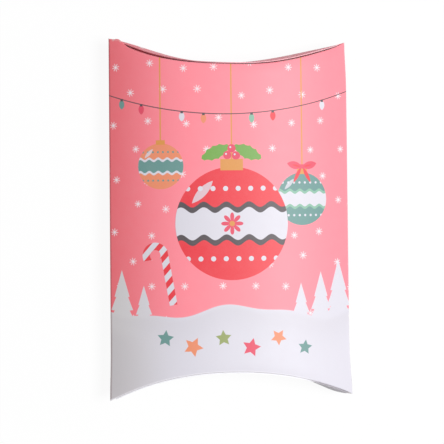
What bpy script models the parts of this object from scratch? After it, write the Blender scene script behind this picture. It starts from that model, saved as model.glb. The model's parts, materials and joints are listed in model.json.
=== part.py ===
"""A pillow-shaped gift box of folded card, lying on its back.

The real box is one die-cut sheet with a glued side seam. It is modelled as the panels,
folds, creases and flaps that its scored lines divide it into, each in the card's thickness.
X runs across the box, Y along it and Z up through its front panel. The origin is the middle
of the flat that the box rests on.
"""
from collections import namedtuple
import math

import bmesh
import bpy
from mathutils import Vector

# Overall sizes, in metres
box_width = 0.100
box_length = 0.150
front_rise = 0.0109
back_rise = 0.0105
card_thickness = 0.0004

# How the panels bow across the box: the power of the distance from the middle line
front_bow_power = 2.3
back_bow_power = 1.7

# How far each end's curved creases dip towards the middle of the box
top_front_dip = 0.0104
top_back_dip = 0.0089
bottom_front_dip = 0.0113
bottom_back_dip = 0.0105
top_front_power = 2.6
top_back_power = 1.75
bottom_front_power = 2.15
bottom_back_power = 1.75

# Folds, creases and the clearances between pieces
side_fold_leg = 0.0025
crease_leg = 0.0012
crease_leg_share = 0.25
seam_gap = 0.0003
hinge_gap = 0.0005
layer_gap = 0.00035

# Flaps
outer_flap_side_inset = 0.004
outer_flap_edge_drop = 0.0008
inner_flap_side_inset = 0.008
inner_flap_foot_clearance = 0.001
inner_flap_end_height = 0.0006

# Glued seam along the right side
tab_width = 0.012
tab_taper = 0.006
tab_side_inset = 0.004
tab_end_inset = 0.015
glue_side_inset = 0.002
glue_end_inset = 0.007
glue_thickness = 0.0002

# Faceting: one flat facet in the middle of the back, which the box rests on
rest_flat_width = 0.012
facets_per_side = 12
tab_facets = 4

# Colours are linear red, green and blue
pink_print = (0.96, 0.33, 0.40)
shaded_pink_print = (0.72, 0.16, 0.20)
snow_print = (0.80, 0.78, 0.85)
bare_card = (0.86, 0.84, 0.80)
worn_crease = (0.90, 0.72, 0.74)
worn_snow_crease = (0.88, 0.87, 0.88)
dried_glue = (0.78, 0.70, 0.48)
coated_roughness = 0.42
bare_roughness = 0.85
glue_roughness = 0.30

End = namedtuple("End", "name side front_dip front_power back_dip back_power")

top_end = End("top", 1, top_front_dip, top_front_power, top_back_dip, top_back_power)
bottom_end = End("bottom", -1, bottom_front_dip, bottom_front_power,
                 bottom_back_dip, bottom_back_power)


def bow(x, power):
    """The share of a panel's rise, or of a crease's dip, that is left at x."""
    return 1 - abs(2 * x / box_width) ** power


# The side folds lie this high when the flat of the back touches the ground
side_height = back_rise * bow(rest_flat_width / 2, back_bow_power)


def front_height(x):
    return side_height + front_rise * bow(x, front_bow_power)


def back_height(x):
    return side_height - back_rise * bow(x, back_bow_power)


def front_fold(end, x):
    """A point of the crease between the front panel and its flap."""
    y = end.side * (box_length / 2 - end.front_dip * bow(x, end.front_power))
    return Vector((x, y, front_height(x)))


def back_fold(end, x):
    """A point of the crease between the back panel and its flap."""
    y = end.side * (box_length / 2 - end.back_dip * bow(x, end.back_power))
    return Vector((x, y, back_height(x)))


def outer_flap_point(end, x, distance):
    """A point of the outer flap's face, this far up from the back crease."""
    foot = back_fold(end, x)
    head = front_fold(end, x)
    head.y += end.side * (card_thickness + layer_gap)
    return foot + (head - foot).normalized() * distance


def outer_flap_height(end, x):
    """The length of the outer flap at x, from the back crease to its free edge."""
    foot = back_fold(end, x)
    head = front_fold(end, x)
    head.y += end.side * (card_thickness + layer_gap)
    return (head - foot).length - outer_flap_edge_drop


def inner_flap_point(end, x, distance):
    """A point of the inner flap's outward face, this far down from the front crease."""
    head = front_fold(end, x)
    foot = back_fold(end, x)
    foot.y -= end.side * (card_thickness + layer_gap)
    return head + (foot - head).normalized() * distance


def leg_at(x):
    """How far a crease strip turns onto its flap, less where the end tapers to the corners."""
    return min(crease_leg, crease_leg_share * (front_height(x) - back_height(x)))


def flap_start(x):
    return leg_at(x) + hinge_gap


def stations(half_width):
    """Places across the box, with the resting flat as the middle facet."""
    flat_edge = rest_flat_width / 2
    step = (half_width - flat_edge) / facets_per_side
    right = [flat_edge + step * count for count in range(facets_per_side + 1)]
    return [-x for x in reversed(right)] + right


def new_collection(name):
    collection = bpy.data.collections.new(name)
    bpy.context.scene.collection.children.link(collection)
    return collection


def finish(name, colour, roughness):
    material = bpy.data.materials.new(name)
    material.use_nodes = True
    shader = material.node_tree.nodes["Principled BSDF"]
    shader.inputs["Base Color"].default_value = (*colour, 1)
    shader.inputs["Roughness"].default_value = roughness
    shader.inputs["Metallic"].default_value = 0
    return material


def card(name, rows, outward, material, thickness=card_thickness, pivot=None):
    """Bends a flat grid through rows of points and thickens it on its inner side."""
    pivot = pivot or Vector((0, 0, 0))
    across = len(rows[0]) - 1
    along = len(rows) - 1
    sheet = bmesh.new()
    bmesh.ops.create_grid(sheet, x_segments=across, y_segments=along, size=1)
    for vert in sheet.verts:
        column = round((vert.co.x + 1) / 2 * across)
        row = round((vert.co.y + 1) / 2 * along)
        vert.co = rows[row][column] - pivot
    sheet.normal_update()
    if sum(face.normal.dot(outward) * face.calc_area() for face in sheet.faces) < 0:
        bmesh.ops.reverse_faces(sheet, faces=sheet.faces)
    mesh = bpy.data.meshes.new(name)
    sheet.to_mesh(mesh)
    sheet.free()
    mesh.materials.append(material)
    piece = bpy.data.objects.new(name, mesh)
    piece.location = pivot
    box.objects.link(piece)
    shell = piece.modifiers.new("card_thickness", "SOLIDIFY")
    shell.thickness = thickness
    shell.offset = -1
    shell.use_even_offset = True
    return piece


def panel_half_width():
    return box_width / 2 - side_fold_leg - seam_gap


def make_panels():
    """The bowed front and back, each as wide as the folds at its sides leave it."""
    xs = stations(panel_half_width())
    trim = crease_leg + seam_gap
    front_rows = []
    back_rows = []
    for end in (bottom_end, top_end):
        inward = Vector((0, -end.side * trim, 0))
        front_rows.append([front_fold(end, x) + inward for x in xs])
        back_rows.append([back_fold(end, x) + inward for x in xs])
    card("front_panel", front_rows, Vector((0, 0, 1)),
         finish("front_print", pink_print, coated_roughness))
    card("back_panel", back_rows, Vector((0, 0, -1)),
         finish("back_print", shaded_pink_print, coated_roughness))


def make_side_fold(name, side):
    """The folded strip along one side, from corner to corner."""
    inner_x = side * (box_width / 2 - side_fold_leg)
    tip_x = side * box_width / 2
    rows = []
    for end in (bottom_end, top_end):
        tip = Vector((tip_x, end.side * box_length / 2, side_height))
        rows.append([front_fold(end, inner_x), tip, back_fold(end, inner_x)])
    card(name, rows, Vector((side, 0, 0)), finish(name + "_print", pink_print, coated_roughness))


def make_creases(end, colour):
    """The scored strips that join the panels to the flaps at one end."""
    xs = stations(panel_half_width())
    inward = Vector((0, -end.side * crease_leg, 0))
    front_rows = [
        [front_fold(end, x) + inward for x in xs],
        [front_fold(end, x) for x in xs],
        [inner_flap_point(end, x, leg_at(x)) for x in xs],
    ]
    back_rows = [
        [back_fold(end, x) + inward for x in xs],
        [back_fold(end, x) for x in xs],
        [outer_flap_point(end, x, leg_at(x)) for x in xs],
    ]
    material = finish(end.name + "_crease_print", colour, coated_roughness)
    card(end.name + "_front_crease", front_rows, Vector((0, end.side, 1)), material)
    card(end.name + "_back_crease", back_rows, Vector((0, end.side, -1)), material)


def outer_flap_pivot(end):
    """A point of the outer flap's axis, on its outward face where the back crease dips most."""
    apex = outer_flap_point(end, rest_flat_width / 2, flap_start(rest_flat_width / 2))
    return Vector((0, apex.y, apex.z))


def inner_flap_pivot(end):
    """A point of the inner flap's axis, on its inward face where the front crease dips most."""
    apex = inner_flap_point(end, rest_flat_width / 2, flap_start(rest_flat_width / 2))
    return Vector((0, apex.y - end.side * card_thickness, apex.z))


def make_outer_flap(end, colour):
    """The flap that hinges on the back panel and closes the end from outside."""
    xs = stations(box_width / 2 - outer_flap_side_inset)
    rows = [
        [outer_flap_point(end, x, flap_start(x)) for x in xs],
        [outer_flap_point(end, x, outer_flap_height(end, x)) for x in xs],
    ]
    name = end.name + "_outer_flap"
    card(name, rows, Vector((0, end.side, 0)), finish(name + "_print", colour, coated_roughness),
         pivot=outer_flap_pivot(end))


def inner_flap_half_width():
    return box_width / 2 - inner_flap_side_inset


def inner_flap_height(end, x):
    """The length of the inner flap at x, a lens whose free edge swings clear of the back panel."""
    pivot = inner_flap_pivot(end)
    start = inner_flap_point(end, x, flap_start(x))
    outward = end.side * (back_fold(end, x).y - pivot.y) - card_thickness - layer_gap
    swing_room = pivot.z - back_height(x) - card_thickness - inner_flap_foot_clearance
    drop = math.sqrt(max(swing_room ** 2 - outward ** 2, 0))
    return max(drop - (pivot.z - start.z), inner_flap_end_height)


def make_inner_flap(end):
    """The flap that hinges on the front panel and tucks in behind the outer one."""
    xs = stations(inner_flap_half_width())
    rows = [
        [inner_flap_point(end, x, flap_start(x)) for x in xs],
        [inner_flap_point(end, x, flap_start(x) + inner_flap_height(end, x)) for x in xs],
    ]
    name = end.name + "_inner_flap"
    card(name, rows, Vector((0, end.side, 0)), finish(name + "_board", bare_card, bare_roughness),
         pivot=inner_flap_pivot(end))


def seam_strip(name, outer_x, width, length, taper, depth, thickness, material):
    """A strip along the right side, parallel to the back panel and this deep inside it."""
    rows = []
    for column in range(tab_facets + 1):
        share = column / tab_facets
        x = outer_x - width * share
        half_length = length / 2 - taper * share
        z = back_height(x) + depth
        rows.append([Vector((x, -half_length, z)), Vector((x, half_length, z))])
    return card(name, rows, Vector((0, 0, -1)), material, thickness=thickness)


def make_glued_seam():
    """The tab inside the back panel and the film of glue that holds it there."""
    glue_depth = card_thickness + seam_gap
    tab_depth = glue_depth + glue_thickness + seam_gap
    tab_outer_x = box_width / 2 - tab_side_inset
    tab_length = box_length - 2 * tab_end_inset
    glue_width = tab_width - 2 * glue_side_inset
    glue_length = tab_length - 2 * glue_end_inset
    seam_strip("glue_tab", tab_outer_x, tab_width, tab_length, tab_taper, tab_depth, card_thickness,
               finish("glue_tab_board", bare_card, bare_roughness))
    seam_strip("glue_strip", tab_outer_x - glue_side_inset, glue_width, glue_length, 0, glue_depth,
               glue_thickness, finish("seam_glue", dried_glue, glue_roughness))


def clear_scene():
    for item in list(bpy.data.objects):
        bpy.data.objects.remove(item, do_unlink=True)


clear_scene()
box = new_collection("envelope_gift_box")
make_panels()
make_side_fold("side_fold", -1)
make_side_fold("seam_fold", 1)
make_creases(top_end, worn_crease)
make_creases(bottom_end, worn_snow_crease)
make_outer_flap(top_end, pink_print)
make_outer_flap(bottom_end, snow_print)
make_inner_flap(top_end)
make_inner_flap(bottom_end)
make_glued_seam()
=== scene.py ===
"""The looks of a pillow-shaped gift box of printed card: its sleeve, flaps and glued seam."""
import json
import math

import bpy
from bpy.props import FloatProperty, FloatVectorProperty, PointerProperty
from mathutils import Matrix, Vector


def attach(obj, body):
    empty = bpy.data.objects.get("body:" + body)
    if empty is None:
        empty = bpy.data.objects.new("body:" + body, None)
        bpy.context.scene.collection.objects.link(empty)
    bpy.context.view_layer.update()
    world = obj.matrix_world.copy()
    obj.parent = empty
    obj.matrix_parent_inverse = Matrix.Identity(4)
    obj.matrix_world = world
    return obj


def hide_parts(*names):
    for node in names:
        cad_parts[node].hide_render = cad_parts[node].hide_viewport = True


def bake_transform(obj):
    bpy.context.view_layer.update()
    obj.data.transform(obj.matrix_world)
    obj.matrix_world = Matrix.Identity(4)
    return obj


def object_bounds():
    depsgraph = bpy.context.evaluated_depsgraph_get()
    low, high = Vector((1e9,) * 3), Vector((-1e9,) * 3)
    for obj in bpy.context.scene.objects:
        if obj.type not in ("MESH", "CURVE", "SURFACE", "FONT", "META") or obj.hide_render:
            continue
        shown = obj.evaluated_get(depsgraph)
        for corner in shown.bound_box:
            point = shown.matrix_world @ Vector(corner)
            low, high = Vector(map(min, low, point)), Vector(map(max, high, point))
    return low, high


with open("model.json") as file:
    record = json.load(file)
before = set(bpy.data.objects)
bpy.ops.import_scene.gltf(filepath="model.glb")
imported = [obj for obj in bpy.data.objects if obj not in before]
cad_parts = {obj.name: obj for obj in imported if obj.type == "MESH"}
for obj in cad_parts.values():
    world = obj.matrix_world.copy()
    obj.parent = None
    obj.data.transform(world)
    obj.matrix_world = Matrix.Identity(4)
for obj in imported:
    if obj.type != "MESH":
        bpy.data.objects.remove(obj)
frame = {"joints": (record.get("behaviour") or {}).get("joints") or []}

bl_info = {
    "name": "Pillow Gift Box",
    "version": (1, 0, 0),
    "blender": (4, 5, 0),
    "location": "3D View > Sidebar > Gift Box",
    "description": "Builds a pillow-shaped gift box of printed card around its packed frame",
    "category": "Object",
}

FRAME_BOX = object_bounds()
BOX_LOW, BOX_HIGH = FRAME_BOX
BOX_WIDTH = BOX_HIGH.x - BOX_LOW.x
BOX_LENGTH = BOX_HIGH.y - BOX_LOW.y
BOX_TOP = BOX_HIGH.z
MM = 0.001
PHOTO_PIXELS = 444


def length(name, description, default):
    """A size in metres that a user can change in the sidebar."""
    return FloatProperty(name=name, description=description, default=default, min=0,
                         unit="LENGTH", subtype="DISTANCE", precision=5)


def share(name, description, default):
    """A plain number that a user can change in the sidebar."""
    return FloatProperty(name=name, description=description, default=default, min=0)


def stray(name, description, default):
    """How far something has moved to the right and up, which a user can change in the sidebar."""
    return FloatVectorProperty(name=name, description=description, default=default, size=2,
                               unit="LENGTH", subtype="XYZ", precision=5)


def colour(name, description, default):
    """A print colour that a user can change in the sidebar, in linear light."""
    return FloatVectorProperty(name=name, description=description, default=default,
                               subtype="COLOR", size=3, min=0, max=1)


class GiftBoxSizes(bpy.types.PropertyGroup):
    side_height: length("Side height", "Height of the side folds above the ground", 0.010214)
    back_rise: length("Back rise", "Depth of the back panel's bow", 0.0105)
    front_power: share("Front power", "How square the front panel's bow is", 2.3)
    back_power: share("Back power", "How square the back panel's bow is", 1.7)
    top_front_dip: length("Top front dip", "Dip of the front crease at the top end", 0.0104)
    top_front_power: share("Top front power", "How square that crease is", 2.6)
    top_back_dip: length("Top back dip", "Dip of the back crease at the top end", 0.0089)
    top_back_power: share("Top back power", "How square that crease is", 1.75)
    bottom_front_dip: length("Bottom front dip", "Dip of the front crease at the bottom end", 0.0113)
    bottom_front_power: share("Bottom front power", "How square that crease is", 2.15)
    bottom_back_dip: length("Bottom back dip", "Dip of the back crease at the bottom end", 0.0109)
    bottom_back_power: share("Bottom back power", "How square that crease is", 2.1)
    card: length("Card", "Thickness of the card", 0.0004)
    crease_radius: length("Crease radius", "Outer radius of the scored creases", 0.0005)
    crease_lip: length("Crease lip", "How far a crease runs on before its flap bends", 0.0003)
    top_layer_gap: length("Top layer gap", "Gap behind the free edge of the top outer flap", 0.00022)
    bottom_layer_gap: length("Bottom layer gap", "The same gap at the bottom end", 0.00003)
    top_edge_drop: length("Top edge drop", "How far the top outer flap stops below the front", 0.0021)
    bottom_edge_drop: length("Bottom edge drop", "How far the bottom outer flap stops below it", 0.0001)
    outer_flap_inset: length("Outer flap inset", "How far an outer flap stops from the sides", 0.0025)
    shoulder: length("Shoulder", "How far the front stands over the top left corner's flap", 0.0027)
    top_spring: length("Top spring", "How far the back springs out at the top left", 0.0011)
    bottom_spring: length("Bottom spring", "How far the back springs out at the bottom right", 0.0020)
    top_slack: length("Top slack", "How far the front is pulled in at the top", 0.00045)
    bottom_slack: length("Bottom slack", "How far the front is pulled in at the bottom right", 0.0002)
    bottom_spread: length("Bottom spread", "How much wider the bottom end lies than the top end", 0.0009)
    top_left_stray: stray("Top left stray", "How far that corner has moved", (0.0, 0.0007))
    top_right_stray: stray("Top right stray", "How far that corner has moved", (-0.0006, -0.0012))
    bottom_left_stray: stray("Bottom left stray", "How far that corner has moved", (-0.0004, -0.0008))
    bottom_right_stray: stray("Bottom right stray", "How far that corner has moved", (0.0011, 0.0003))
    corner_reach: length("Corner reach", "How far from its tip a corner is out of place", 0.012)
    inner_flap_inset: length("Inner flap inset", "How far an inner flap stops from the sides", 0.008)
    inner_flap_reach: length("Inner flap reach", "Length of an inner flap in the middle", 0.018)
    inner_clearance: length("Inner clearance", "Gap between an inner flap's edge and the back", 0.00035)
    seam_setback: length("Seam setback", "How far the back's cut edge stops from the fold", 0.0016)
    seam_step: length("Seam step", "Step from the back's cut edge down to the fold", 0.00016)
    tab_width: length("Tab width", "Width of the glued tab inside the back panel", 0.012)
    tab_inset: length("Tab inset", "How far the glued tab starts from the side", 0.004)
    tab_end_inset: length("Tab end inset", "How far the glued tab stops from the ends", 0.015)
    tab_taper: length("Tab taper", "How much the tab's ends slope across its width", 0.006)
    glue_thickness: length("Glue", "Thickness of the glue film", 0.0002)


class GiftBoxColours(bpy.types.PropertyGroup):
    pink: colour("Pink", "Ground of the print", (1.0, 0.25, 0.31))
    # The next colour is painted shade: the pink ground darkened towards the left side.
    pink_painted_shade: colour("Deep pink", "Ground of the print towards the left side", (0.85, 0.117, 0.142))
    snow: colour("Snow", "Snow, firs and white bands", (0.71, 0.70, 0.775))
    # The next colour is painted shade: the snow darkened towards the left side.
    snow_painted_shade: colour("Snow dusk", "Snow towards the left side", (0.67, 0.655, 0.66))
    # The next colour is the printed shading of the snow drifts, and also painted shade in the bottom left
    # of the snow.
    snow_shade: colour("Snow shade", "Soft shade on the snow", (0.54, 0.515, 0.55))
    flake: colour("Snowflakes", "Snowflakes on the pink", (0.92, 0.86, 0.90))
    red: colour("Red", "Large bauble", (0.79, 0.009, 0.026))
    crimson: colour("Crimson", "Berries, bow, flower and stripes", (0.75, 0.044, 0.105))
    gold: colour("Gold", "Caps and cords", (0.70, 0.29, 0.044))
    charcoal: colour("Charcoal", "Dark band and the garland's string", (0.031, 0.028, 0.035))
    orange: colour("Orange", "Small bauble and stars", (0.83, 0.26, 0.12))
    teal: colour("Teal", "Small bauble and stars", (0.105, 0.28, 0.26))
    mint: colour("Mint", "Wavy band", (0.22, 0.48, 0.35))
    holly: colour("Holly", "Leaves", (0.14, 0.37, 0.044))
    olive: colour("Olive", "A star", (0.28, 0.35, 0.105))
    bare_card: colour("Bare card", "Unprinted side of the card", (0.72, 0.70, 0.66))
    cut_edge: colour("Cut edge", "Fibres where the card is cut or worn", (0.76, 0.74, 0.72))
    grain: colour("Grain", "Dots that show through the print", (0.78, 0.62, 0.64))
    # The next four colours are painted light and shade on the cut rims: painted shade at the top left,
    # painted light at the top right, painted shade at the bottom right, and painted light at the bottom
    # left and along the bottom crease.
    top_rim_painted_shade: colour("Dark rim", "Cut rim of the top outer flap, at the left", (0.30, 0.045, 0.06))
    top_rim_painted_light: colour("Pale rim", "Cut rim of the top outer flap, at the right", (0.85, 0.475, 0.52))
    bottom_rim_painted_shade: colour("Grey rim", "Cut rim of the bottom outer flap, at the right", (0.46, 0.43, 0.475))
    snow_painted_light: colour("Snow rim", "Rim and crease of the bottom end, in the light", (0.95, 0.94, 1.0))
    glue: colour("Glue", "Dried glue film", (0.66, 0.60, 0.42))
    # The next colour is painted shade, multiplied into the print along the left side fold.
    fold_painted_shade: colour("Fold shade", "Darker print along the left fold", (0.50, 0.42, 0.42))


def sizes():
    return bpy.context.scene.gift_box_sizes


def colours():
    return bpy.context.scene.gift_box_colours


class End:
    """One end of the box: which way it faces and the dips of its two curved creases."""

    def __init__(self, name, side):
        made = sizes()
        self.name = name
        self.side = side
        self.front_dip = getattr(made, name + "_front_dip")
        self.front_power = getattr(made, name + "_front_power")
        self.back_dip = getattr(made, name + "_back_dip")
        self.back_power = getattr(made, name + "_back_power")
        self.layer_gap = getattr(made, name + "_layer_gap")
        self.edge_drop = getattr(made, name + "_edge_drop")
        if side > 0:
            self.slack = Swelling(made.top_slack, middle=0.012, reach=0.018)
            self.spring = Swelling(made.top_spring, middle=-0.038, reach=0.014)
            self.shoulder = Swelling(made.shoulder, middle=-0.0462, reach=0.0026)
        else:
            self.slack = Swelling(made.bottom_slack, middle=0.034, reach=0.012)
            self.spring = Swelling(made.bottom_spring, middle=0.0445, reach=0.009)
            self.shoulder = Swelling(0, middle=0, reach=1)

    def front_arc(self, x):
        """The front crease without the shoulder at its corner."""
        dip = self.front_dip * bow(x, self.front_power) + self.slack.height(x)
        return self.side * (BOX_LENGTH / 2 - dip)

    def front_y(self, x):
        return self.front_arc(x) + self.side * self.shoulder.height(x)

    def back_y(self, x):
        dip = self.back_dip * bow(x, self.back_power) - self.spring.height(x)
        return self.side * (BOX_LENGTH / 2 - dip)


def both_ends():
    return End("bottom", -1), End("top", 1)


def bow(x, power):
    """The share of a bow that is left at x, from 1 in the middle to 0 at the side folds."""
    return 1 - min(abs(2 * x / BOX_WIDTH), 1) ** power


class Swelling:
    """A soft swelling about one place across the box, which dies out at the side folds."""

    fade_power = 12

    def __init__(self, peak, middle, reach):
        self.peak = peak
        self.middle = middle
        self.reach = reach

    def height(self, x):
        return self.peak * math.exp(-((x - self.middle) / self.reach) ** 2) * bow(x, self.fade_power)


def front_z(x):
    made = sizes()
    return made.side_height + (BOX_TOP - made.side_height) * bow(x, made.front_power)


def back_z(x):
    """The back panel's outer face, which settles flat where it meets the ground."""
    softness = 0.0001
    made = sizes()
    free = made.side_height - made.back_rise * bow(x, made.back_power)
    return (free + math.hypot(free, softness)) / 2


def crease_radius(x):
    """The outer radius of the creases, less towards the pointed corners."""
    smallest_share, depth_share = 0.04, 0.2
    made = sizes()
    return max(smallest_share * made.crease_radius,
               min(made.crease_radius, depth_share * (front_z(x) - back_z(x))))


def crease_lip(x):
    made = sizes()
    return made.crease_lip * crease_radius(x) / made.crease_radius


def spread(low, high, count):
    return [low + (high - low) * step / (count - 1) for step in range(count)]


def deselect_all():
    if bpy.context.object and bpy.context.object.mode != "OBJECT":
        bpy.ops.object.mode_set(mode="OBJECT")
    bpy.ops.object.select_all(action="DESELECT")


def activate(piece):
    deselect_all()
    piece.select_set(True)
    bpy.context.view_layer.objects.active = piece


def apply_modifier(piece, kind, **settings):
    """Adds a modifier, sets it and applies it."""
    activate(piece)
    modifier = piece.modifiers.new(kind.lower(), kind)
    for key, value in settings.items():
        setattr(modifier, key, value)
    bpy.ops.object.modifier_apply(modifier=modifier.name)


def bent_sheet(name, columns, flat_columns, closed=False):
    """A grid whose columns are moved to the given points, with its flat pattern in two UV maps.

    columns holds one list of points for each column of the grid, and flat_columns one list of
    (x, y, distance to the crease, distance to the side fold), in metres on the unfolded card.
    """
    merge_distance = 1e-6
    across, along = len(columns) - 1, len(columns[0]) - 1
    deselect_all()
    bpy.ops.mesh.primitive_grid_add(x_subdivisions=across, y_subdivisions=along, size=2)
    piece = bpy.context.object
    piece.name = piece.data.name = name
    mesh = piece.data
    places = []
    for vertex in mesh.vertices:
        column = round((vertex.co.x + 1) / 2 * across)
        row = round((vertex.co.y + 1) / 2 * along)
        places.append((column, row))
        vertex.co = columns[column][row]
    layer = mesh.uv_layers[0]
    layer.name = "print_map"
    folds = mesh.uv_layers.new(name="fold_map")
    for loop in mesh.loops:
        column, row = places[loop.vertex_index]
        flat = flat_columns[column][row]
        layer.data[loop.index].uv = flat[:2]
        folds.data[loop.index].uv = flat[2:]
    mesh.uv_layers.active = layer
    if closed:
        activate(piece)
        bpy.ops.object.mode_set(mode="EDIT")
        bpy.ops.mesh.select_all(action="SELECT")
        bpy.ops.mesh.remove_doubles(threshold=merge_distance)
        bpy.ops.object.mode_set(mode="OBJECT")
    return piece


def face_outwards(piece, outward):
    """Flips the sheet if its faces point against outward, a function of a face's centre."""
    mesh = piece.data
    facing = sum(face.normal.dot(outward(face.center)) * face.area for face in mesh.polygons)
    if facing < 0:
        activate(piece)
        bpy.ops.object.mode_set(mode="EDIT")
        bpy.ops.mesh.select_all(action="SELECT")
        bpy.ops.mesh.flip_normals()
        bpy.ops.object.mode_set(mode="OBJECT")


def make_card(piece, outward, thickness, *finishes):
    """Turns a sheet into card with its own outer face, inner face and cut rim.

    outward is a function of a face's centre. The card's thickness lies on the inner side.
    """
    sharp_angle = 40
    face_outwards(piece, outward)
    dress(piece, *finishes)
    apply_modifier(piece, "SOLIDIFY", thickness=thickness, offset=-1, use_even_offset=False,
                   material_offset=1, material_offset_rim=2)
    press_thin(piece, thickness)
    keep_in_frame(piece)
    settle(piece)
    activate(piece)
    bpy.ops.object.shade_smooth_by_angle(angle=math.radians(sharp_angle))
    return piece


def press_thin(piece, thickness):
    """Thins the card where front and back close on each other, so that no inner face comes out.

    Once the modifier is applied, the outer face's vertices come first and the inner face's follow.
    """
    least, depth_share = 0.00002, 0.19
    vertices = piece.data.vertices
    half = len(vertices) // 2
    for index in range(half):
        outer, inner = vertices[index], vertices[index + half]
        x = outer.co.x
        room = max(least, depth_share * (front_z(x) - back_z(x)))
        inner.co = outer.co.lerp(inner.co, min(1, room / thickness))


def keep_in_frame(piece):
    """Moves what the card's inner face pushes out of the box's pointed corners back inside."""
    for vertex in piece.data.vertices:
        for axis, (low, high) in enumerate(zip(BOX_LOW, BOX_HIGH)):
            vertex.co[axis] = min(max(vertex.co[axis], low), high)


def settle(piece):
    """Puts a piece out of true as the used box is: wider at the bottom, its corners astray."""
    made = sizes()
    half_width, half_length = BOX_WIDTH / 2, BOX_LENGTH / 2
    corners = ((-half_width, half_length, made.top_left_stray),
               (half_width, half_length, made.top_right_stray),
               (-half_width, -half_length, made.bottom_left_stray),
               (half_width, -half_length, made.bottom_right_stray))
    for vertex in piece.data.vertices:
        x, y = vertex.co.x, vertex.co.y
        from_top = (half_length - y) / BOX_LENGTH
        vertex.co.x += made.bottom_spread * from_top * x / BOX_WIDTH
        for corner_x, corner_y, stray_by in corners:
            near = math.exp(-((x - corner_x) ** 2 + (y - corner_y) ** 2) / made.corner_reach ** 2)
            vertex.co.x += stray_by[0] * near
            vertex.co.y += stray_by[1] * near


def profile():
    """Points round the sleeve as (x, z, panel), from the right fold over the front and back."""
    fold_depth, tip_overshoot, step_width = 0.0006, 0.0006, 0.00004
    fold_columns, panel_columns = 5, 81
    made = sizes()
    fold_x = BOX_WIDTH / 2 - fold_depth
    tip_x = BOX_WIDTH / 2 + tip_overshoot
    edge_x = BOX_WIDTH / 2 - made.seam_setback
    points = []

    def fold_curve(side, z_from, z_to, shares):
        for part in shares:
            start, bend, stop = (1 - part) ** 2, 2 * part * (1 - part), part ** 2
            x = side * (fold_x * (start + stop) + tip_x * bend)
            points.append((x, z_from * start + made.side_height * bend + z_to * stop, "fold"))

    shares = spread(0, 1, 2 * fold_columns - 1)
    middle = fold_columns - 1
    fold_curve(1, back_z(fold_x), front_z(fold_x), shares[middle:-1])
    for step in spread(0, math.pi, panel_columns):
        x = fold_x * math.cos(step)
        points.append((x, front_z(x), "front"))
    fold_curve(-1, front_z(fold_x), back_z(fold_x), shares[1:-1])
    for step in spread(0, math.pi, panel_columns):
        x = -fold_x * math.cos(step)
        if x < edge_x:
            points.append((x, back_z(x), "back"))
    points.append((edge_x, back_z(edge_x), "back"))
    points.append((edge_x + step_width, back_z(edge_x) + made.seam_step, "edge"))
    points.append((fold_x, back_z(fold_x) + made.seam_step / 2, "edge"))
    fold_curve(1, back_z(fold_x), front_z(fold_x), shares[1:middle + 1])
    return points


def end_rows(end, x, z, panel):
    """One end of a sleeve column: points from the panel round the crease to its lip."""
    arc_steps = 4
    radius = crease_radius(x)
    toward_back = panel in ("back", "edge")
    y = end.back_y(x) if toward_back else end.front_y(x)
    turn = 1 if toward_back else -1
    rows = []
    for angle in spread(0, math.pi / 2, arc_steps + 1):
        rows.append((x, y - end.side * radius * (1 - math.sin(angle)),
                     z + turn * radius * (1 - math.cos(angle))))
    rows.append((x, y, z + turn * (radius + crease_lip(x))))
    return rows


def make_sleeve():
    """Front, back and side folds as one sheet that turns over at each curved crease."""
    body_rows, crease_row = 33, 2
    bottom, top = both_ends()
    points = profile()
    lengths = [0]
    for (near_x, near_z, unused), (far_x, far_z, unused) in zip(points, points[1:]):
        lengths.append(lengths[-1] - math.hypot(far_x - near_x, far_z - near_z))
    front_middle = next(place for (x, z, panel), place in zip(points, lengths)
                        if panel == "front" and x <= 0)
    columns, flat_columns = [], []
    for (x, z, panel), place in zip(points, lengths):
        low = end_rows(bottom, x, z, panel)
        high = end_rows(top, x, z, panel)
        middle = [(x, y, z) for y in spread(low[0][1], high[0][1], body_rows)][1:-1]
        column = list(reversed(low)) + middle + high
        columns.append([Vector(point) for point in column])
        flat = flat_lengths(column, len(low) - 1)
        crease_low, crease_high = flat[crease_row], flat[-1 - crease_row]
        flat_columns.append([
            (place - front_middle, v, min(v - crease_low, crease_high - v),
             side_distance(x, panel)) for v in flat])
    return make_card(bent_sheet("carton_sleeve", columns, flat_columns, closed=True),
                     lambda centre: Vector((centre.x, 0, centre.z - sizes().side_height)),
                     sizes().card, "print", "board", "print")


def side_distance(x, panel):
    """How far a column lies from its side fold, and 0 on the fold itself."""
    return BOX_WIDTH / 2 - abs(x) if panel != "fold" else 0


def flat_lengths(column, anchor):
    """The places of a column's points on the unfolded card, true to y at the anchor point."""
    lengths = [0]
    for near, far in zip(column, column[1:]):
        lengths.append(lengths[-1] + (Vector(far) - Vector(near)).length)
    shift = column[anchor][1] - lengths[anchor]
    return [value + shift for value in lengths]


def flap_columns(xs, start, finish_at, rows, flat_start, side, flat_across):
    """Columns of a flap from its crease to its free edge, closer together at the crease."""
    closeness = 1.3
    columns, flat_columns = [], []
    for x in xs:
        foot, head = start(x), finish_at(x)
        column = [foot.lerp(head, part ** closeness) for part in spread(0, 1, rows)]
        columns.append(column)
        flat_columns.append([
            (flat_across(x), flat_start(x) + side * (point - foot).length,
             (point - foot).length, BOX_WIDTH / 2 - abs(x)) for point in column])
    return columns, flat_columns


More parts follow.
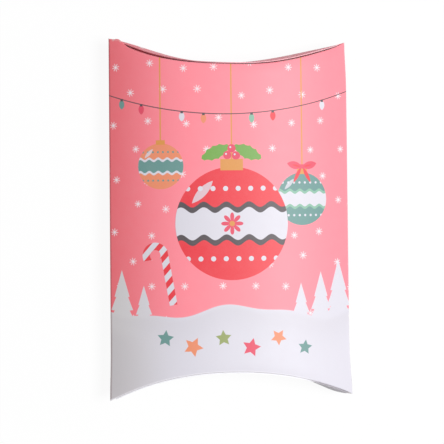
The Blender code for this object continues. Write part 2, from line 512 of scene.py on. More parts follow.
def make_outer_flap(end, flat_across):
    """The flap on the back crease, which closes the end from outside."""
    rows, across = 25, 61
    room_share, drop_share = 0.5, 0.3
    made = sizes()
    half_width = BOX_WIDTH / 2 - made.outer_flap_inset

    def layer(x):
        clear = made.card + end.layer_gap
        return min(clear, room_share * (BOX_LENGTH / 2 - abs(end.front_arc(x))))

    def start(x):
        return Vector((x, end.back_y(x), back_z(x) + crease_radius(x) + crease_lip(x)))

    def finish_at(x):
        head = Vector((x, end.front_arc(x) + end.side * layer(x), front_z(x)))
        foot = start(x)
        reach = head - foot
        drop = min(end.edge_drop, drop_share * reach.length)
        return foot + reach * (1 - drop / reach.length)

    columns, flat_columns = flap_columns(
        spread(-half_width, half_width, across), start, finish_at, rows,
        lambda x: end.side * (abs(end.back_y(x)) + crease_radius(x)), end.side, flat_across)
    return make_card(bent_sheet(end.name + "_outer_flap_skin", columns, flat_columns),
                     lambda centre: Vector((0, end.side, 0)), made.card, "print", "board", "rim")


def make_inner_flap(end):
    """The flap on the front crease, tucked in behind the outer one."""
    rows, across = 25, 57
    lens_power, least_share = 1.8, 0.035
    made = sizes()
    half_width = BOX_WIDTH / 2 - made.inner_flap_inset

    def start(x):
        return Vector((x, end.front_y(x), front_z(x) - crease_radius(x) - crease_lip(x)))

    def finish_at(x):
        foot = start(x)
        floor = Vector((x, end.back_y(x) - end.side * (made.card + made.inner_clearance), back_z(x)))
        lens = least_share + (1 - least_share) * (1 - abs(x / half_width) ** lens_power)
        return foot + (floor - foot).normalized() * made.inner_flap_reach * lens

    columns, flat_columns = flap_columns(
        spread(-half_width, half_width, across), start, finish_at, rows,
        lambda x: end.side * (abs(end.front_y(x)) + crease_radius(x)), end.side, lambda x: x)
    return make_card(bent_sheet(end.name + "_inner_flap_skin", columns, flat_columns),
                     lambda centre: Vector((0, end.side, 0)), made.card, "print", "board", "edge")


def inside_strip(name, outer_x, width, half_length, taper, depth, thickness, *finishes):
    """A strip inside the back panel, parallel to it and this deep within."""
    across, along = 13, 25
    columns, flat_columns = [], []
    for x in spread(outer_x, outer_x - width, across):
        reach = half_length - taper * (outer_x - x) / width
        column = [Vector((x, y, back_z(x) + depth)) for y in spread(-reach, reach, along)]
        columns.append(column)
        flat_columns.append([(x, point.y, reach - abs(point.y), outer_x - x) for point in column])
    return make_card(bent_sheet(name, columns, flat_columns),
                     lambda centre: Vector((0, 0, -1)), thickness, *finishes)


class Wire:
    """A shader socket that takes part in sums, each of which adds its Math node."""

    def __init__(self, painter, socket):
        self.painter = painter
        self.socket = socket

    def math(self, operation, *values, clamp=False):
        return self.painter.math(operation, self, *values, clamp=clamp)

    def __add__(self, other):
        return self.painter.math("ADD", self, other)

    def __radd__(self, other):
        return self.painter.math("ADD", other, self)

    def __sub__(self, other):
        return self.painter.math("SUBTRACT", self, other)

    def __mul__(self, other):
        return self.painter.math("MULTIPLY", self, other)

    def __rmul__(self, other):
        return self.painter.math("MULTIPLY", other, self)

    def __truediv__(self, other):
        return self.painter.math("DIVIDE", self, other)

    def __abs__(self):
        return self.painter.math("ABSOLUTE", self)


class Painter:
    """One material and the few ways in which its nodes are added."""

    def __init__(self, name):
        self.material = bpy.data.materials.new(name)
        self.material.use_nodes = True
        self.tree = self.material.node_tree
        self.shader = self.tree.nodes["Principled BSDF"]

    def add(self, kind, settings=None, inputs=None):
        """Adds a node, sets it first, then gives its sockets their values or links."""
        node = self.tree.nodes.new(kind)
        for key, value in (settings or {}).items():
            setattr(node, key, value)
        for key, value in (inputs or {}).items():
            self.plug(node.inputs[key], value)
        return node

    def plug(self, socket, value):
        if isinstance(value, Wire):
            self.tree.links.new(value.socket, socket)
        else:
            socket.default_value = value

    def wire(self, node, output=0):
        return Wire(self, node.outputs[output])

    def math(self, operation, *values, clamp=False):
        node = self.add("ShaderNodeMath", {"operation": operation, "use_clamp": clamp},
                        dict(enumerate(values)))
        return self.wire(node)

    def vector(self, operation, *values, output=0, **sockets):
        node = self.add("ShaderNodeVectorMath", {"operation": operation},
                        {**dict(enumerate(values)), **sockets})
        return self.wire(node, output)

    def mix(self, factor, below, above, blend="MIX"):
        """Lays one colour over another where the factor is 1."""
        colour_below, colour_above, colour_out = 6, 7, 2
        node = self.add("ShaderNodeMix", {"data_type": "RGBA", "blend_type": blend},
                        {0: factor, colour_below: rgba(below), colour_above: rgba(above)})
        return self.wire(node, colour_out)

    def noise(self, vector, scale, detail=2, roughness=0.5):
        node = self.add("ShaderNodeTexNoise", None,
                        {"Vector": vector, "Scale": scale, "Detail": detail, "Roughness": roughness})
        return self.wire(node, "Fac")

    def uv(self, name):
        return self.wire(self.add("ShaderNodeUVMap", {"uv_map": name}))

    def place(self):
        return self.wire(self.add("ShaderNodeTexCoord"), "Object")

    def parts(self, vector):
        node = self.add("ShaderNodeSeparateXYZ", None, {0: vector})
        return self.wire(node, 0), self.wire(node, 1), self.wire(node, 2)

    def ramp(self, value, low, high):
        """0 where the value is below low, 1 above high, and a smooth step between."""
        node = self.add("ShaderNodeMapRange", {"interpolation_type": "SMOOTHSTEP"},
                        {"Value": value, "From Min": low, "From Max": high,
                         "To Min": 0.0, "To Max": 1.0})
        return self.wire(node)

    def bump(self, height, strength, distance):
        node = self.add("ShaderNodeBump", None,
                        {"Strength": strength, "Distance": distance, "Height": height})
        return self.wire(node)

    def surface(self, colour, roughness, normal=None, specular=0.5):
        """Wires the shader's colour, roughness and relief, and returns the material."""
        self.plug(self.shader.inputs["Base Color"], rgba(colour))
        self.plug(self.shader.inputs["Roughness"], roughness)
        self.shader.inputs["Specular IOR Level"].default_value = specular
        if normal is not None:
            self.plug(self.shader.inputs["Normal"], normal)
        return self.material


def rgba(value):
    """A colour of three numbers with its alpha, or a wire as it is."""
    return value if isinstance(value, Wire) else (*value, 1)


class PrintedArt:
    """Flat drawing on the unfolded card, in millimetres from the middle of the front."""

    edge = 0.16

    def __init__(self, painter, flat):
        self.painter = painter
        self.flat = painter.vector("SCALE", flat, Scale=1 / MM)
        self.x, self.y, unused = painter.parts(self.flat)

    def inside(self, distance, size=0.0, edge=None):
        """1 where the distance is below size, with a soft printed edge."""
        soft = edge or self.edge
        return distance.math("MULTIPLY_ADD", -1 / soft, 0.5 + size / soft, clamp=True)

    def reach(self, x, y):
        return self.painter.vector("DISTANCE", self.flat, (x, y, 0), output=1)

    def disc(self, x, y, radius):
        return self.inside(self.reach(x, y), radius)

    def turned(self, x, y, degrees=0):
        """The place on the card seen from a motif's own middle, turned by so many degrees."""
        right, up = self.x - x, self.y - y
        if not degrees:
            return right, up
        turn = math.radians(degrees)
        return (right * math.cos(turn) + up * math.sin(turn),
                up * math.cos(turn) - right * math.sin(turn))

    def block(self, right, up, half_width, half_height):
        """A rectangle about a motif's own middle."""
        return self.inside((abs(right) - half_width).math("MAXIMUM", abs(up) - half_height))

    def leaf(self, x, y, degrees, half_length, half_width):
        """A pointed leaf, the overlap of two discs."""
        right, up = self.turned(x, y, degrees)
        radius = (half_length ** 2 + half_width ** 2) / (2 * half_width)
        offset = radius - half_width
        reach = (abs(up) + offset).math("POWER", 2) + right * right
        return self.inside(reach.math("SQRT"), radius)

    def holly(self, x, y, degrees, half_length, half_width):
        """A holly leaf, a pointed leaf with scallops bitten out of its rim."""
        scallops, bite = 5, 0.5
        right, up = self.turned(x, y, degrees)
        radius = (half_length ** 2 + half_width ** 2) / (2 * half_width)
        offset = radius - half_width
        reach = ((abs(up) + offset).math("POWER", 2) + right * right).math("SQRT")
        scallop = abs((right * (scallops / 2 * math.pi / half_length)).math("SINE"))
        return self.inside(reach + scallop * bite, radius)

    def star(self, x, y, degrees, radius):
        """A five-pointed star."""
        slice_angle, waist_share = 2 * math.pi / 5, 0.5
        right, up = self.turned(x, y, degrees)
        half_slice = slice_angle / 2
        angle = abs(up.math("ARCTAN2", right).math("FLOORED_MODULO", slice_angle) - half_slice)
        length = (right * right + up * up).math("SQRT")
        waist = waist_share * radius
        tip_x, tip_y = radius * math.cos(half_slice), radius * math.sin(half_slice)
        side = math.hypot(tip_x - waist, tip_y)
        across, rise = tip_y / side, (tip_x - waist) / side
        flank = (length * angle.math("COSINE") - waist) * across - length * angle.math("SINE") * rise
        return self.inside(flank)

    def lay(self, below, above, mask):
        return self.painter.mix(mask, below, above)

    def snowflakes(self, below, paint):
        """Small eight-armed flakes in staggered rows, each a little off its place."""
        pitch_x, pitch_y, shift, stray_share = 14.6, 11.6, 0.2, 0.16
        arm_pairs, arm, shortening, arm_half_width = 4, 1.7, 0.2, 0.11
        heart, soft = 0.45, 0.20
        row = (self.y / pitch_y).math("FLOOR")
        stagger = row.math("FLOORED_MODULO", 2) * 0.5
        column = (self.x / pitch_x + stagger + shift).math("FLOOR")
        key = self.painter.add("ShaderNodeCombineXYZ", None, {0: column, 1: row})
        noise = self.painter.add("ShaderNodeTexWhiteNoise", {"noise_dimensions": "2D"},
                                 {"Vector": self.painter.wire(key)})
        east, north, spin = self.painter.parts(self.painter.wire(noise, "Color"))
        right = self.x - (column - stagger - shift + 0.5 + (east - 0.5) * stray_share * 2) * pitch_x
        up = self.y - (row + 0.5 + (north - 0.5) * stray_share * 2) * pitch_y
        reach = (right * right + up * up).math("SQRT")
        turn = up.math("ARCTAN2", right) + spin
        arms = abs((turn * arm_pairs).math("SINE")) * reach / arm_pairs
        star = self.inside(arms, arm_half_width, soft) * self.inside(reach + east * shortening, arm, soft)
        return self.lay(below, paint, star.math("MAXIMUM", self.inside(reach, heart, 2 * soft)))

    def snow_line(self):
        """The height of the snow, in waves that meet again where the card closes round the box."""
        waves, wave_start, wave_height = 3, 1.1, 2.4
        ripples, ripple_start, ripple_height = 7, 2.0, 0.9
        below_middle = 38.5
        once_round = math.pi * MM / abs(back_turn())
        wave = (self.x * (waves * once_round) + wave_start).math("SINE") * wave_height
        ripple = (self.x * (ripples * once_round) + ripple_start).math("SINE") * ripple_height
        return wave + ripple - below_middle

    def fir(self, below, shade, x, foot, height):
        """A fir as three stacked tiers, drawn as a plain pale outline.

        Each tier has its base, its tip and its half width as shares of the height.
        """
        tiers = ((0.0, 0.55, 0.28), (0.25, 0.8, 0.22), (0.5, 1.0, 0.15))
        hem_rise = 0.12
        right, up = self.turned(x, foot)
        wide = abs(right)
        drawn = None
        for base_share, top_share, width_share in tiers:
            base, top = base_share * height, top_share * height
            slope = math.atan2(top - base, width_share * height)
            flank = wide * math.sin(slope) + (up - top) * math.cos(slope)
            tier = flank.math("MAXIMUM", base + wide * hem_rise - up)
            drawn = tier if drawn is None else drawn.math("MINIMUM", tier)
        return self.lay(below, shade, self.inside(drawn))

    def bauble(self, below, x, y, radius, ball, band, stripe, cap, cord_top):
        """A round bauble with a banded middle, a cap and the cord that it hangs by."""
        cord_width, cap_width_share, cap_height_share, cap_lift = 0.28, 0.2, 0.1, 0.4
        waves, wave_share = 5, 0.05
        outer_share, inner_share = 0.34, 0.24
        dot_row_share, dots_per_radius, dot_share = 0.62, 4.5, 0.2
        glint_left, glint_up, glint_degrees = 0.52, 0.56, 47
        glint_length, glint_width, glint_strength = 0.27, 0.075, 0.75
        cap_half = cap_width_share * radius
        cap_height = cap_height_share * radius
        right, up = self.turned(x, y)
        cord_middle = (cord_top - y + radius) / 2
        cord = self.block(right, up - cord_middle, cord_width, (cord_top - y - radius) / 2)
        below = self.lay(below, cap, cord)
        body = self.disc(x, y, radius)
        below = self.lay(below, ball, body)
        wavy = abs(up + (right * (math.pi * waves / radius)).math("SINE") * (radius * wave_share))
        below = self.lay(below, stripe, body * self.inside(wavy, radius * outer_share))
        below = self.lay(below, band, body * self.inside(wavy, radius * inner_share))
        pitch = radius / dots_per_radius
        along = (right / pitch).math("FLOORED_MODULO", 1) - 0.5
        off_row = (abs(up) - radius * dot_row_share) / pitch
        reach = (along * along + off_row * off_row).math("SQRT") * pitch
        below = self.lay(below, band, body * self.inside(reach, pitch * dot_share))
        glint = self.leaf(x - radius * glint_left, y + radius * glint_up, glint_degrees,
                          radius * glint_length, radius * glint_width)
        below = self.lay(below, colours().snow, glint * glint_strength)
        lid = self.block(right, up - (radius + cap_height * cap_lift), cap_half, cap_height)
        return self.lay(below, cap, lid)

    def winter_rose(self, below, x, y, radius, petals, heart):
        """A flower of eight pointed petals with a dotted heart."""
        petal_pairs, fullness = 4, 0.8
        petal_share, core_share, heart_share = 0.72, 0.28, 0.24
        right, up = self.turned(x, y)
        length = (right * right + up * up).math("SQRT")
        turn = up.math("ARCTAN2", right)
        lobes = abs((turn * petal_pairs).math("COSINE")).math("POWER", fullness)
        flower = self.inside(length - lobes * (radius * petal_share), radius * core_share)
        below = self.lay(below, petals, flower)
        return self.lay(below, heart, self.disc(x, y, radius * heart_share))

    def cane(self, below, x, y, degrees, height, radius, width, body, stripes):
        """A hooked cane with slanting stripes."""
        slant, bar_rate, bar_size, bar_edge = 0.8, 1.15, -0.05, 0.3
        right, up = self.turned(x, y, degrees)
        straight = abs(right - radius).math("MAXIMUM", abs(up + height / 2) - height / 2)
        ring = abs((right * right + up * up).math("SQRT") - radius)
        reach = straight.math("MINIMUM", ring.math("MAXIMUM", -1 * up))
        shape = self.inside(reach, width)
        below = self.lay(below, body, shape)
        bars = ((up - right * slant) * bar_rate).math("SINE")
        return self.lay(below, stripes, shape * self.inside(bars * -1, bar_size, bar_edge))

    def bow_knot(self, below, x, y, size, ribbon, fold):
        """A flat ribbon bow of two loops, two tails and a knot.

        Each leaf of one side has its place, turn, half length and half width, with all lengths as
        shares of the size.
        """
        leaves = ((fold, 0.45, -0.75, -62, 0.8, 0.17),
                  (ribbon, 0.72, 0.12, 14, 0.72, 0.34),
                  (fold, 0.55, 0.08, 14, 0.4, 0.08))
        knot_width, knot_height = 0.17, 0.2
        for side in (-1, 1):
            for paint, out, rise, degrees, half_length, half_width in leaves:
                leaf = self.leaf(x + side * size * out, y + size * rise, side * degrees,
                                 size * half_length, size * half_width)
                below = self.lay(below, paint, leaf)
        right, up = self.turned(x, y)
        return self.lay(below, ribbon, self.block(right, up, size * knot_width, size * knot_height))

    def garland(self, below, cord, bulbs):
        """A sagging string of small bulbs from one side of the front to the other."""
        sag, height, reach = 8.5, 52.0, 50.0
        string_middle, string_reach, string_half_width = 1.94, 51.65, 0.2
        bulb_half_length, bulb_half_width, upright = 2.1, 1.15, 90
        socket_drop, socket_half_width, socket_half_height = 0.3, 0.55, 0.5
        line = self.x * self.x * (sag / reach ** 2) + (height - sag)
        string = self.inside(abs(self.y - line), string_half_width)
        string = string * self.inside(abs(self.x - string_middle), string_reach)
        below = self.lay(below, cord, string)
        for place, tint in bulbs:
            hang = height - sag + sag * (place / reach) ** 2
            bulb = self.leaf(place, hang - bulb_half_length, upright, bulb_half_length, bulb_half_width)
            below = self.lay(below, tint, bulb)
            right, up = self.turned(place, hang - socket_drop)
            below = self.lay(below, cord, self.block(right, up, socket_half_width, socket_half_height))
        return below


def printed_card(name):
    """Satin coated print: pink ground with snowflakes over snow, and the motifs on the front."""
    tint = colours()
    painter = Painter(name)
    place = painter.place()
    art = PrintedArt(painter, painter.uv("print_map"))
    drawn = draw_ground(painter, art, place)
    drawn = draw_baubles(art, drawn)
    drawn = art.bow_knot(drawn, x=32.0, y=21.5, size=4.6, ribbon=tint.crimson, fold=tint.red)
    drawn = art.cane(drawn, x=-30.0, y=-15.0, degrees=10, height=20.0, radius=3.8, width=1.6,
                     body=tint.snow, stripes=tint.red)
    bulbs = ((-44.0, tint.teal), (-35.5, tint.crimson), (-18.5, tint.snow), (-9.5, tint.orange),
             (10.5, tint.mint), (19.5, tint.red), (41.5, tint.snow))
    drawn = art.garland(drawn, tint.charcoal, bulbs)
    stars = ((-26.0, -49.5, 12, 3.6, tint.teal), (-14.5, -53.0, -8, 4.2, tint.orange),
             (-2.0, -49.5, 22, 3.4, tint.olive), (9.5, -53.5, 4, 4.0, tint.crimson),
             (21.0, -49.5, -16, 3.5, tint.orange), (32.5, -54.0, 10, 3.2, tint.teal))
    for x, y, degrees, radius, paint in stars:
        drawn = art.lay(drawn, paint, art.star(x, y, degrees, radius))
    return finish_print(painter, place, drawn)


def draw_ground(painter, art, place):
    """The pink ground with its flakes, the firs and the snow, with painted shade that darkens the ground
    and the snow towards the left side and the snow towards the bottom left.
    """
    pink_painted_shade_span, snow_painted_shade = (-0.062, -0.018), (-0.055, -0.020)
    drift_start, drift_end, drift_strength = (-16.0, -1.0), (0.5, -2.5), 0.2
    bottom_left_shade_side, bottom_left_shade_slope = (-38.0, -68.0), 0.25
    bottom_left_shade_depth, bottom_left_shade_strength = (0.5, -12.0), 0.55
    trees = ((-44.5, -44.0, 23.0), (-35.0, -44.0, 16.5), (31.0, -44.0, 17.0), (40.0, -44.0, 21.5),
             (48.5, -44.5, 27.0), (-76.0, -44.5, 23.5), (-86.0, -44.0, 18.0), (-121.0, -44.0, 20.0),
             (-131.0, -44.5, 26.5))
    tint = colours()
    side_x, unused, unused_too = painter.parts(place)
    # Painted shade: the pink ground and the snow turn darker towards the left side, where the bow turns
    # from the lamp.
    ground = painter.mix(painter.ramp(side_x, *pink_painted_shade_span), tint.pink_painted_shade, tint.pink)
    snow = painter.mix(painter.ramp(side_x, *snow_painted_shade), tint.snow_painted_shade, tint.snow)
    drawn = art.snowflakes(ground, tint.flake)
    for x, foot, height in trees:
        drawn = art.fir(drawn, snow, x, foot, height)
    snow_height = art.y - art.snow_line()
    drawn = art.lay(drawn, snow, art.inside(snow_height))
    drift = (painter.ramp(snow_height, *drift_start) * painter.ramp(snow_height, *drift_end)
             * drift_strength)
    # Painted shade: the snow is darkened towards the bottom left, more deeply further below the snow
    # line.
    bottom_left_painted_shade = (painter.ramp(art.x + art.y * bottom_left_shade_slope, *bottom_left_shade_side)
              * painter.ramp(snow_height, *bottom_left_shade_depth))
    return art.lay(drawn, tint.snow_shade, drift.math("MAXIMUM", bottom_left_painted_shade * bottom_left_shade_strength))


def draw_baubles(art, drawn):
    """Three baubles on cords, with a winter rose on the largest and holly on its cap."""
    cord_top, middle_x, middle_y = 85.0, 2.0, -2.0
    leaf_half_length, leaf_half_width = 7.0, 3.0
    berry_radius, glint_offset, glint_radius = 1.7, 0.5, 0.4
    tint = colours()
    baubles = ((-27.5, 22.0, 9.5, tint.orange, tint.teal, tint.snow),
               (32.0, 8.0, 11.0, tint.teal, tint.snow, tint.mint),
               (middle_x, middle_y, 23.5, tint.red, tint.snow, tint.charcoal))
    for x, y, radius, ball, band, stripe in baubles:
        drawn = art.bauble(drawn, x, y, radius, ball, band, stripe, tint.gold, cord_top)
    drawn = art.winter_rose(drawn, middle_x, middle_y, 4.6, tint.crimson, tint.gold)
    for x, y, degrees in ((-4.6, 27.6, 24), (8.6, 27.6, -24)):
        drawn = art.lay(drawn, tint.holly, art.holly(x, y, degrees, leaf_half_length, leaf_half_width))
    for x, y in ((0.2, 26.4), (3.8, 26.2), (2.0, 29.2)):
        drawn = art.lay(drawn, tint.crimson, art.disc(x, y, berry_radius))
        drawn = art.lay(drawn, tint.snow, art.disc(x - glint_offset, y + glint_offset, glint_radius))
    return drawn


def finish_print(painter, place, drawn):
    """Wear along the folds, painted shade along the left fold, painted light along the bottom crease, the
    grain of the coated card and its satin sheen.

    The ramps run over millimetres from a crease, a side fold or the worn corner, over metres
    across or along the box, or over the patchiness of the wear.
    """
    crease_reach, crease_patches = (0.5, 0.05), (0.98, 1.3)
    side_reach, side_patches = (0.3, 0.0), (1.1, 1.4)
    scuff_reach, scuff_line, scuff_patches = (6.2, 5.2), (1.7, 0.8), (0.40, 0.58)
    wear_strength, scuff_strength = 0.6, 0.5
    shaded_fold, shaded_side, shade_strength = (0.9, 0.1), (0.0, -BOX_WIDTH / 2), 0.8
    painted_light_reach, painted_light_strength = (0.9, 0.2), 0.9
    painted_light_across, painted_light_along = (0.037, 0.030), (-0.052, -0.060)
    grain_tint, mottle_tint = 0.08, 0.06
    base_roughness, mottle_roughness, wear_roughness = 0.43, 0.09, 0.3
    grain_relief, wear_relief = 0.6, 0.5
    tint = colours()
    from_crease, from_side, unused = painter.parts(painter.uv("fold_map"))
    fibre = painter.noise(place, scale=900, detail=4, roughness=0.6)
    patch = painter.noise(place, scale=90, detail=3, roughness=0.6)
    near_crease = abs(from_crease) / MM
    crease_wear = (painter.ramp(near_crease, *crease_reach)
                   * painter.ramp(fibre + patch, *crease_patches))
    side_wear = painter.ramp(from_side / MM, *side_reach) * painter.ramp(fibre + patch, *side_patches)
    wear = crease_wear.math("MAXIMUM", side_wear) * wear_strength
    worn_corner = (-BOX_WIDTH / 2, BOX_LENGTH / 2, sizes().side_height)
    corner = painter.vector("DISTANCE", place, worn_corner, output=1)
    scuff = (painter.ramp(corner / MM, *scuff_reach) * painter.ramp(near_crease + patch, *scuff_line)
             * painter.ramp(fibre, *scuff_patches))
    drawn = painter.mix(wear.math("MAXIMUM", scuff * scuff_strength), drawn, tint.cut_edge)
    # Painted shade: the print is multiplied darker along the fold on the left side.
    left_side = painter.ramp(painter.parts(place)[0], *shaded_side)
    painted_fold_shade = painter.ramp(from_side / MM, *shaded_fold) * left_side * shade_strength
    drawn = painter.mix(painted_fold_shade, drawn, tint.fold_painted_shade, "MULTIPLY")
    across, along, unused = painter.parts(place)
    # Painted light: the print is lightened towards a pale snow white along the bottom crease, except near
    # the right side.
    painted_crease_light = (painter.ramp(near_crease, *painted_light_reach) * painter.ramp(across, *painted_light_across)
              * painter.ramp(along, *painted_light_along))
    drawn = painter.mix(painted_crease_light * painted_light_strength, drawn, tint.snow_painted_light)
    grain = painter.noise(place, scale=2600, detail=3, roughness=0.65)
    mottle = painter.noise(place, scale=260, detail=2, roughness=0.5)
    drawn = painter.mix(grain * grain_tint + mottle * mottle_tint, drawn, tint.grain)
    roughness = base_roughness + mottle * mottle_roughness + wear * wear_roughness
    relief = grain * grain_relief + mottle + wear * wear_relief
    normal = painter.bump(relief, strength=0.25, distance=0.00012)
    return painter.surface(drawn, roughness, normal, specular=0.38)


def flap_rim_painted_light_and_shade(name):
    """The cut rim of the outer flaps, with painted shade at the top left and the bottom right and painted
    light at the top right and the bottom left.
    """
    top_shade_to_light, bottom_light_to_shade, which_end = (-0.034, 0.012), (0.030, 0.037), (-0.010, 0.010)
    base_roughness, fibre_roughness = 0.75, 0.1
    tint = colours()
    painter = Painter(name)
    place = painter.place()
    across, along, unused = painter.parts(place)
    top = painter.mix(painter.ramp(across, *top_shade_to_light), tint.top_rim_painted_shade, tint.top_rim_painted_light)
    bottom = painter.mix(painter.ramp(across, *bottom_light_to_shade), tint.snow_painted_light, tint.bottom_rim_painted_shade)
    drawn = painter.mix(painter.ramp(along, *which_end), bottom, top)
    fibre = painter.noise(place, scale=2200, detail=4, roughness=0.7)
    roughness = base_roughness + fibre * fibre_roughness
    normal = painter.bump(fibre, strength=0.3, distance=0.0001)
    return painter.surface(drawn, roughness, normal, specular=0.25)


def bare_card(name, tint_name="bare_card"):
    """The uncoated side of the card, matt with short fibres."""
    fibre_stretch, darker_share = (1.0, 0.35, 1.0), 0.86
    fibre_tint, cloud_tint = 0.6, 0.4
    base_roughness, fibre_roughness = 0.82, 0.1
    painter = Painter(name)
    place = painter.place()
    base = tuple(getattr(colours(), tint_name))
    stretched = painter.vector("MULTIPLY", place, fibre_stretch)
    fibre = painter.noise(stretched, scale=2200, detail=5, roughness=0.7)
    cloud = painter.noise(place, scale=140, detail=2, roughness=0.5)
    darker = tuple(value * darker_share for value in base)
    drawn = painter.mix(fibre * fibre_tint + cloud * cloud_tint, darker, base)
    normal = painter.bump(fibre, strength=0.35, distance=0.0001)
    roughness = base_roughness + fibre * fibre_roughness
    return painter.surface(drawn, roughness, normal, specular=0.25)


def glue_film(name):
    """Dried glue, slightly glossy and uneven."""
    paler_share, base_roughness, blotch_roughness = 1.15, 0.25, 0.2
    painter = Painter(name)
    place = painter.place()
    blotch = painter.noise(place, scale=420, detail=3, roughness=0.6)
    base = tuple(colours().glue)
    thin = tuple(min(1.0, value * paler_share) for value in base)
    drawn = painter.mix(blotch, base, thin)
    roughness = base_roughness + blotch * blotch_roughness
    return painter.surface(drawn, roughness, painter.bump(blotch, strength=0.5, distance=0.0001))


def dress(piece, *names):
    """Gives a piece its outer face, inner face and cut rim materials, made once each."""
    makers = {"print": printed_card, "board": bare_card, "glue": glue_film, "rim": flap_rim_painted_light_and_shade,
              "edge": lambda name: bare_card(name, "cut_edge")}
    piece.data.materials.clear()
    for name in names:
        title = "gift_box_" + name
        material = bpy.data.materials.get(title) or makers[name](title)
        piece.data.materials.append(material)


def hinge(name):
    return next(joint for joint in frame["joints"] if joint["name"] == name)


def bend_with_flap(skin, body, end, inward):
    """Bakes the skin's transform into its mesh; the way away from the hinge's crease, on the side of
    inward, is worked out but not used.
    """
    apex = Vector(hinge(body + "_hinge")["pos_m"])
    corner = Vector((0, end.side * BOX_LENGTH / 2, sizes().side_height))
    along = corner - apex
    along.x = 0
    away = Vector((0, -along.z, along.y)).normalized()
    if away.dot(inward) < 0:
        away = -away
    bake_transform(skin)


class GIFTBOX_OT_sleeve(bpy.types.Operator):
    """Builds the printed sleeve of the box, with its side folds and curved creases"""
    bl_idname = "gift_box.sleeve"
    bl_label = "Build sleeve"

    def execute(self, context):
        sleeve = make_sleeve()
        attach(sleeve, "carton")
        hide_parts("front_panel", "back_panel", "side_fold", "seam_fold", "top_front_crease",
                    "top_back_crease", "bottom_front_crease", "bottom_back_crease")
        return {"FINISHED"}


class GIFTBOX_OT_flaps(bpy.types.Operator):
    """Builds the outer and inner flaps at both ends"""
    bl_idname = "gift_box.flaps"
    bl_label = "Build flaps"

    def execute(self, context):
        turn = back_turn()
        for end in both_ends():
            outer = make_outer_flap(end, lambda x: turn - x)
            body = end.name + "_outer_flap"
            bend_with_flap(outer, body, end, Vector((0, 0, 1)))
            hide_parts(body)
            inner = make_inner_flap(end)
            body = end.name + "_inner_flap"
            bend_with_flap(inner, body, end, Vector((0, 0, -1)))
            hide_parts(body)
        return {"FINISHED"}


def back_turn():
    """The place on the unfolded card of the middle line of the back panel."""
    step_count = 201
    half_front = half_back = 0
    steps = spread(0, BOX_WIDTH / 2, step_count)
    for near, far in zip(steps, steps[1:]):
        half_front += math.hypot(far - near, front_z(far) - front_z(near))
        half_back += math.hypot(far - near, back_z(far) - back_z(near))
    return -half_front - half_back


class GIFTBOX_OT_seam(bpy.types.Operator):
    """Builds the glued tab inside the back panel and its film of glue"""
    bl_idname = "gift_box.seam"
    bl_label = "Build glued seam"

    def execute(self, context):
        made = sizes()
        outer_x = BOX_WIDTH / 2 - made.tab_inset
        half_length = BOX_LENGTH / 2 - made.tab_end_inset
        clearance, glue_inset = 0.00005, 0.002
        tab_depth = made.card + made.glue_thickness + 2 * clearance
        tab = inside_strip("glue_tab_strip", outer_x, made.tab_width, half_length, made.tab_taper,
                           tab_depth, made.card, "board", "board", "edge")
        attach(tab, "carton")
        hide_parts("glue_tab")
        film = inside_strip("glue_film", outer_x - glue_inset, made.tab_width - 2 * glue_inset,
                            half_length - made.tab_taper - glue_inset, 0, made.card + clearance,
                            made.glue_thickness, "glue", "glue", "glue")
        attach(film, "carton")
        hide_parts("glue_strip")
        return {"FINISHED"}


class GIFTBOX_OT_stage(bpy.types.Operator):
    """Sets up the pale floor, the soft lamps and the camera"""
    bl_idname = "gift_box.stage"
    bl_label = "Set up stage"

    def execute(self, context):
        scene = context.scene
        scene.view_settings.view_transform = "Standard"
        make_floor()
        make_lights(scene)
        make_camera(scene)
        return {"FINISHED"}


def seen_white(painter):
    """1 for the rays that look straight at the studio or mirror it, which see it as white."""
    path = painter.add("ShaderNodeLightPath")
    mirrored = painter.wire(path, "Is Glossy Ray").math(
        "MAXIMUM", painter.wire(path, "Is Transmission Ray"))
    return painter.wire(path, "Is Camera Ray").math("MAXIMUM", mirrored)


def make_floor():
    """A wide white floor just under the box, which keeps a faint shadow.

    Light that it throws back on the box is that of a greyer table.
    """
    floor_width, floor_drop, white_share = 6.0, 0.0002, 0.93
    seen_grey, thrown_grey, matt = 0.97, 0.60, 0.9
    deselect_all()
    bpy.ops.mesh.primitive_plane_add(size=floor_width, location=(0, 0, -floor_drop))
    floor = bpy.context.object
    floor.name = "floor"
    painter = Painter("floor_white")
    camera_ray = painter.wire(painter.add("ShaderNodeLightPath"), "Is Camera Ray")
    tone = painter.mix(camera_ray, (thrown_grey,) * 3, (seen_grey,) * 3)
    floor.data.materials.append(painter.surface(tone, matt, specular=0.0))
    glow = painter.add("ShaderNodeEmission", None, {"Color": (1, 1, 1, 1), "Strength": 1.0})
    both = painter.add("ShaderNodeMixShader", None, {0: seen_white(painter) * white_share})
    painter.tree.links.new(painter.shader.outputs[0], both.inputs[1])
    painter.tree.links.new(glow.outputs[0], both.inputs[2])
    painter.tree.links.new(both.outputs[0], painter.tree.nodes["Material Output"].inputs[0])


class StudioSky(Painter):
    """The nodes of the world, which shines softly but is seen as white."""

    def __init__(self, scene):
        world = bpy.data.worlds.new("studio_sky")
        world.use_nodes = True
        scene.world = world
        self.tree = world.node_tree
        self.shader = self.tree.nodes["Background"]


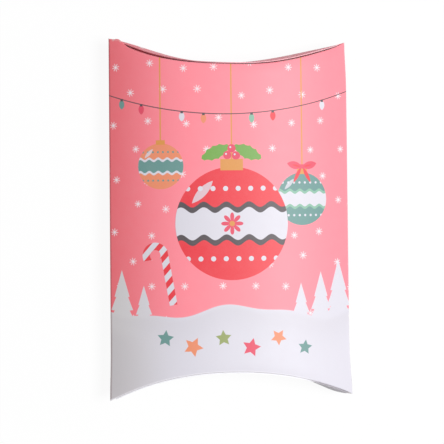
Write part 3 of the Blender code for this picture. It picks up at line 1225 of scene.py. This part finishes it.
def make_lights(scene):
    """A soft key lamp from the right under an even, weaker sky."""
    sky_light, key_power, key_size = 0.25, 14.5, 0.5
    key_spot = Vector((0.543, 0.0, 1.148))
    sky = StudioSky(scene)
    sky.shader.inputs["Color"].default_value = (1, 1, 1, 1)
    sky.plug(sky.shader.inputs["Strength"], seen_white(sky) * (1 - sky_light) + sky_light)
    light = bpy.data.lights.new("key", "AREA")
    light.shape = "SQUARE"
    light.size = key_size
    light.energy = key_power
    lamp = bpy.data.objects.new("key", light)
    lamp.location = key_spot
    lamp.rotation_euler = key_spot.to_track_quat("Z", "Y").to_euler()
    scene.collection.objects.link(lamp)


def make_camera(scene):
    """Looks down on the front panel from a little to the left, through a long lens."""
    sensor, focal_pixels = 36.0, 1913.0
    left_right, up_down, height = -0.0793, 0.0051, 0.800
    turn_degrees = (-0.41, -5.44, -0.57)
    camera = bpy.data.cameras.new("camera")
    camera.sensor_width = sensor
    camera.lens = focal_pixels * sensor / PHOTO_PIXELS
    view = bpy.data.objects.new("camera", camera)
    view.location = (left_right, up_down, height + sizes().side_height)
    view.rotation_euler = [math.radians(degrees) for degrees in turn_degrees]
    scene.collection.objects.link(view)
    scene.camera = view


class GIFTBOX_PT_panel(bpy.types.Panel):
    """The sizes, colours and pieces of the gift box"""
    bl_label = "Pillow Gift Box"
    bl_idname = "GIFTBOX_PT_panel"
    bl_space_type = "VIEW_3D"
    bl_region_type = "UI"
    bl_category = "Gift Box"

    def draw(self, context):
        layout = self.layout
        for operator in OPERATORS:
            layout.operator(operator.bl_idname)
        for group in (context.scene.gift_box_sizes, context.scene.gift_box_colours):
            box = layout.box()
            for name in group.__annotations__:
                box.prop(group, name)


OPERATORS = (GIFTBOX_OT_sleeve, GIFTBOX_OT_flaps, GIFTBOX_OT_seam, GIFTBOX_OT_stage)
CLASSES = (GiftBoxSizes, GiftBoxColours, *OPERATORS, GIFTBOX_PT_panel)


def register():
    for item in CLASSES:
        bpy.utils.register_class(item)
    bpy.types.Scene.gift_box_sizes = PointerProperty(type=GiftBoxSizes)
    bpy.types.Scene.gift_box_colours = PointerProperty(type=GiftBoxColours)


def unregister():
    del bpy.types.Scene.gift_box_colours
    del bpy.types.Scene.gift_box_sizes
    for item in reversed(CLASSES):
        bpy.utils.unregister_class(item)


def main():
    register()
    bpy.ops.gift_box.sleeve()
    bpy.ops.gift_box.flaps()
    bpy.ops.gift_box.seam()
    bpy.ops.gift_box.stage()


if __name__ == "__main__":
    main()
